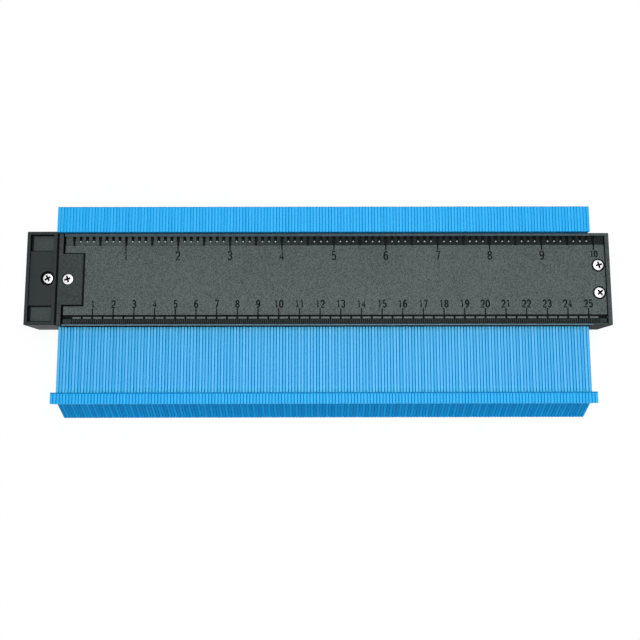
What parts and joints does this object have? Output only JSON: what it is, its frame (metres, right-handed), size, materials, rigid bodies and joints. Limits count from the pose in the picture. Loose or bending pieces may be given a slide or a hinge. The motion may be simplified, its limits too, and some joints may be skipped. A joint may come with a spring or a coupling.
{
  "type": "contour gauge",
  "caption": "Contour gauge with a ruled plastic frame, an end cap that takes up slack and a bank of thin fins that slide through the frame to copy a profile.",
  "frame": {"origin": "middle of the frame along its length and height, on its flat back face", "axes": "+X along the frame towards the screwed right end, +Y along the slide of the fins towards their heads, +Z out of the ruler face"},
  "size_m": [0.2836, 0.1024, 0.0222],
  "materials": {
    "frame_plastic": "fine grained moulded black-grey",
    "cap_plastic": "smooth moulded black-grey",
    "fin_plastic": "satin bright blue",
    "screw_steel": "bright plated"
  },
  "bodies": {
    "frame": {"front_frame": "frame_plastic", "rear_frame": "frame_plastic", "keeper_plate": "cap_plastic", "end_cap_screw": "screw_steel", "keeper_screw": "screw_steel", "right_end_screws": "screw_steel"},
    "end_cap": {"left_end_cap": "cap_plastic"},
    "fin_group_01": {"fin_group_01": "fin_plastic"},
    "fin_group_02": {"fin_group_02": "fin_plastic"},
    "fin_group_03": {"fin_group_03": "fin_plastic"},
    "fin_group_04": {"fin_group_04": "fin_plastic"},
    "fin_group_05": {"fin_group_05": "fin_plastic"},
    "fin_group_06": {"fin_group_06": "fin_plastic"},
    "fin_group_07": {"fin_group_07": "fin_plastic"},
    "fin_group_08": {"fin_group_08": "fin_plastic"},
    "fin_group_09": {"fin_group_09": "fin_plastic"},
    "fin_group_10": {"fin_group_10": "fin_plastic"},
    "fin_group_11": {"fin_group_11": "fin_plastic"},
    "fin_group_12": {"fin_group_12": "fin_plastic"},
    "fin_group_13": {"fin_group_13": "fin_plastic"},
    "fin_group_14": {"fin_group_14": "fin_plastic"},
    "fin_group_15": {"fin_group_15": "fin_plastic"},
    "fin_group_16": {"fin_group_16": "fin_plastic"},
    "fin_group_17": {"fin_group_17": "fin_plastic"},
    "fin_group_18": {"fin_group_18": "fin_plastic"},
    "fin_group_19": {"fin_group_19": "fin_plastic"},
    "fin_group_20": {"fin_group_20": "fin_plastic"},
    "fin_group_21": {"fin_group_21": "fin_plastic"},
    "fin_group_22": {"fin_group_22": "fin_plastic"},
    "fin_group_23": {"fin_group_23": "fin_plastic"},
    "fin_group_24": {"fin_group_24": "fin_plastic"},
    "fin_group_25": {"fin_group_25": "fin_plastic"},
    "fin_group_26": {"fin_group_26": "fin_plastic"},
    "fin_group_27": {"fin_group_27": "fin_plastic"},
    "fin_group_28": {"fin_group_28": "fin_plastic"},
    "fin_group_29": {"fin_group_29": "fin_plastic"},
    "fin_group_30": {"fin_group_30": "fin_plastic"},
    "fin_group_31": {"fin_group_31": "fin_plastic"},
    "fin_group_32": {"fin_group_32": "fin_plastic"},
    "fin_group_33": {"fin_group_33": "fin_plastic"},
    "fin_group_34": {"fin_group_34": "fin_plastic"},
    "fin_group_35": {"fin_group_35": "fin_plastic"},
    "fin_group_36": {"fin_group_36": "fin_plastic"},
    "fin_group_37": {"fin_group_37": "fin_plastic"},
    "fin_group_38": {"fin_group_38": "fin_plastic"},
    "fin_group_39": {"fin_group_39": "fin_plastic"},
    "fin_group_40": {"fin_group_40": "fin_plastic"},
    "fin_group_41": {"fin_group_41": "fin_plastic"},
    "fin_group_42": {"fin_group_42": "fin_plastic"},
    "fin_group_43": {"fin_group_43": "fin_plastic"},
    "fin_group_44": {"fin_group_44": "fin_plastic"},
    "fin_group_45": {"fin_group_45": "fin_plastic"},
    "fin_group_46": {"fin_group_46": "fin_plastic"},
    "fin_group_47": {"fin_group_47": "fin_plastic"},
    "fin_group_48": {"fin_group_48": "fin_plastic"},
    "fin_group_49": {"fin_group_49": "fin_plastic"},
    "fin_group_50": {"fin_group_50": "fin_plastic"}
  },
  "joints": [
    {"name": "end_cap_slide", "type": "slide", "parent": "frame", "child": "end_cap", "axis": [-1, 0, 0], "range_m": [0, 0.0006]},
    {"name": "fin_group_01_slide", "type": "slide", "parent": "frame", "child": "fin_group_01", "axis": [0, 1, 0], "range_m": [0, 0.0316]},
    {"name": "fin_group_02_slide", "type": "slide", "parent": "frame", "child": "fin_group_02", "axis": [0, 1, 0], "range_m": [0, 0.0316]},
    {"name": "fin_group_03_slide", "type": "slide", "parent": "frame", "child": "fin_group_03", "axis": [0, 1, 0], "range_m": [0, 0.0316]},
    {"name": "fin_group_04_slide", "type": "slide", "parent": "frame", "child": "fin_group_04", "axis": [0, 1, 0], "range_m": [0, 0.0316]},
    {"name": "fin_group_05_slide", "type": "slide", "parent": "frame", "child": "fin_group_05", "axis": [0, 1, 0], "range_m": [0, 0.0316]},
    {"name": "fin_group_06_slide", "type": "slide", "parent": "frame", "child": "fin_group_06", "axis": [0, 1, 0], "range_m": [0, 0.0316]},
    {"name": "fin_group_07_slide", "type": "slide", "parent": "frame", "child": "fin_group_07", "axis": [0, 1, 0], "range_m": [0, 0.0316]},
    {"name": "fin_group_08_slide", "type": "slide", "parent": "frame", "child": "fin_group_08", "axis": [0, 1, 0], "range_m": [0, 0.0316]},
    {"name": "fin_group_09_slide", "type": "slide", "parent": "frame", "child": "fin_group_09", "axis": [0, 1, 0], "range_m": [0, 0.0316]},
    {"name": "fin_group_10_slide", "type": "slide", "parent": "frame", "child": "fin_group_10", "axis": [0, 1, 0], "range_m": [0, 0.0316]},
    {"name": "fin_group_11_slide", "type": "slide", "parent": "frame", "child": "fin_group_11", "axis": [0, 1, 0], "range_m": [0, 0.0316]},
    {"name": "fin_group_12_slide", "type": "slide", "parent": "frame", "child": "fin_group_12", "axis": [0, 1, 0], "range_m": [0, 0.0316]},
    {"name": "fin_group_13_slide", "type": "slide", "parent": "frame", "child": "fin_group_13", "axis": [0, 1, 0], "range_m": [0, 0.0316]},
    {"name": "fin_group_14_slide", "type": "slide", "parent": "frame", "child": "fin_group_14", "axis": [0, 1, 0], "range_m": [0, 0.0316]},
    {"name": "fin_group_15_slide", "type": "slide", "parent": "frame", "child": "fin_group_15", "axis": [0, 1, 0], "range_m": [0, 0.0316]},
    {"name": "fin_group_16_slide", "type": "slide", "parent": "frame", "child": "fin_group_16", "axis": [0, 1, 0], "range_m": [0, 0.0316]},
    {"name": "fin_group_17_slide", "type": "slide", "parent": "frame", "child": "fin_group_17", "axis": [0, 1, 0], "range_m": [0, 0.0316]},
    {"name": "fin_group_18_slide", "type": "slide", "parent": "frame", "child": "fin_group_18", "axis": [0, 1, 0], "range_m": [0, 0.0316]},
    {"name": "fin_group_19_slide", "type": "slide", "parent": "frame", "child": "fin_group_19", "axis": [0, 1, 0], "range_m": [0, 0.0316]},
    {"name": "fin_group_20_slide", "type": "slide", "parent": "frame", "child": "fin_group_20", "axis": [0, 1, 0], "range_m": [0, 0.0316]},
    {"name": "fin_group_21_slide", "type": "slide", "parent": "frame", "child": "fin_group_21", "axis": [0, 1, 0], "range_m": [0, 0.0316]},
    {"name": "fin_group_22_slide", "type": "slide", "parent": "frame", "child": "fin_group_22", "axis": [0, 1, 0], "range_m": [0, 0.0316]},
    {"name": "fin_group_23_slide", "type": "slide", "parent": "frame", "child": "fin_group_23", "axis": [0, 1, 0], "range_m": [0, 0.0316]},
    {"name": "fin_group_24_slide", "type": "slide", "parent": "frame", "child": "fin_group_24", "axis": [0, 1, 0], "range_m": [0, 0.0316]},
    {"name": "fin_group_25_slide", "type": "slide", "parent": "frame", "child": "fin_group_25", "axis": [0, 1, 0], "range_m": [0, 0.0316]},
    {"name": "fin_group_26_slide", "type": "slide", "parent": "frame", "child": "fin_group_26", "axis": [0, 1, 0], "range_m": [0, 0.0316]},
    {"name": "fin_group_27_slide", "type": "slide", "parent": "frame", "child": "fin_group_27", "axis": [0, 1, 0], "range_m": [0, 0.0316]},
    {"name": "fin_group_28_slide", "type": "slide", "parent": "frame", "child": "fin_group_28", "axis": [0, 1, 0], "range_m": [0, 0.0316]},
    {"name": "fin_group_29_slide", "type": "slide", "parent": "frame", "child": "fin_group_29", "axis": [0, 1, 0], "range_m": [0, 0.0316]},
    {"name": "fin_group_30_slide", "type": "slide", "parent": "frame", "child": "fin_group_30", "axis": [0, 1, 0], "range_m": [0, 0.0316]},
    {"name": "fin_group_31_slide", "type": "slide", "parent": "frame", "child": "fin_group_31", "axis": [0, 1, 0], "range_m": [0, 0.0316]},
    {"name": "fin_group_32_slide", "type": "slide", "parent": "frame", "child": "fin_group_32", "axis": [0, 1, 0], "range_m": [0, 0.0316]},
    {"name": "fin_group_33_slide", "type": "slide", "parent": "frame", "child": "fin_group_33", "axis": [0, 1, 0], "range_m": [0, 0.0316]},
    {"name": "fin_group_34_slide", "type": "slide", "parent": "frame", "child": "fin_group_34", "axis": [0, 1, 0], "range_m": [0, 0.0316]},
    {"name": "fin_group_35_slide", "type": "slide", "parent": "frame", "child": "fin_group_35", "axis": [0, 1, 0], "range_m": [0, 0.0316]},
    {"name": "fin_group_36_slide", "type": "slide", "parent": "frame", "child": "fin_group_36", "axis": [0, 1, 0], "range_m": [0, 0.0316]},
    {"name": "fin_group_37_slide", "type": "slide", "parent": "frame", "child": "fin_group_37", "axis": [0, 1, 0], "range_m": [0, 0.0316]},
    {"name": "fin_group_38_slide", "type": "slide", "parent": "frame", "child": "fin_group_38", "axis": [0, 1, 0], "range_m": [0, 0.0316]},
    {"name": "fin_group_39_slide", "type": "slide", "parent": "frame", "child": "fin_group_39", "axis": [0, 1, 0], "range_m": [0, 0.0316]},
    {"name": "fin_group_40_slide", "type": "slide", "parent": "frame", "child": "fin_group_40", "axis": [0, 1, 0], "range_m": [0, 0.0316]},
    {"name": "fin_group_41_slide", "type": "slide", "parent": "frame", "child": "fin_group_41", "axis": [0, 1, 0], "range_m": [0, 0.0316]},
    {"name": "fin_group_42_slide", "type": "slide", "parent": "frame", "child": "fin_group_42", "axis": [0, 1, 0], "range_m": [0, 0.0316]},
    {"name": "fin_group_43_slide", "type": "slide", "parent": "frame", "child": "fin_group_43", "axis": [0, 1, 0], "range_m": [0, 0.0316]},
    {"name": "fin_group_44_slide", "type": "slide", "parent": "frame", "child": "fin_group_44", "axis": [0, 1, 0], "range_m": [0, 0.0316]},
    {"name": "fin_group_45_slide", "type": "slide", "parent": "frame", "child": "fin_group_45", "axis": [0, 1, 0], "range_m": [0, 0.0316]},
    {"name": "fin_group_46_slide", "type": "slide", "parent": "frame", "child": "fin_group_46", "axis": [0, 1, 0], "range_m": [0, 0.0316]},
    {"name": "fin_group_47_slide", "type": "slide", "parent": "frame", "child": "fin_group_47", "axis": [0, 1, 0], "range_m": [0, 0.0316]},
    {"name": "fin_group_48_slide", "type": "slide", "parent": "frame", "child": "fin_group_48", "axis": [0, 1, 0], "range_m": [0, 0.0316]},
    {"name": "fin_group_49_slide", "type": "slide", "parent": "frame", "child": "fin_group_49", "axis": [0, 1, 0], "range_m": [0, 0.0316]},
    {"name": "fin_group_50_slide", "type": "slide", "parent": "frame", "child": "fin_group_50", "axis": [0, 1, 0], "range_m": [0, 0.0316]}
  ]
}
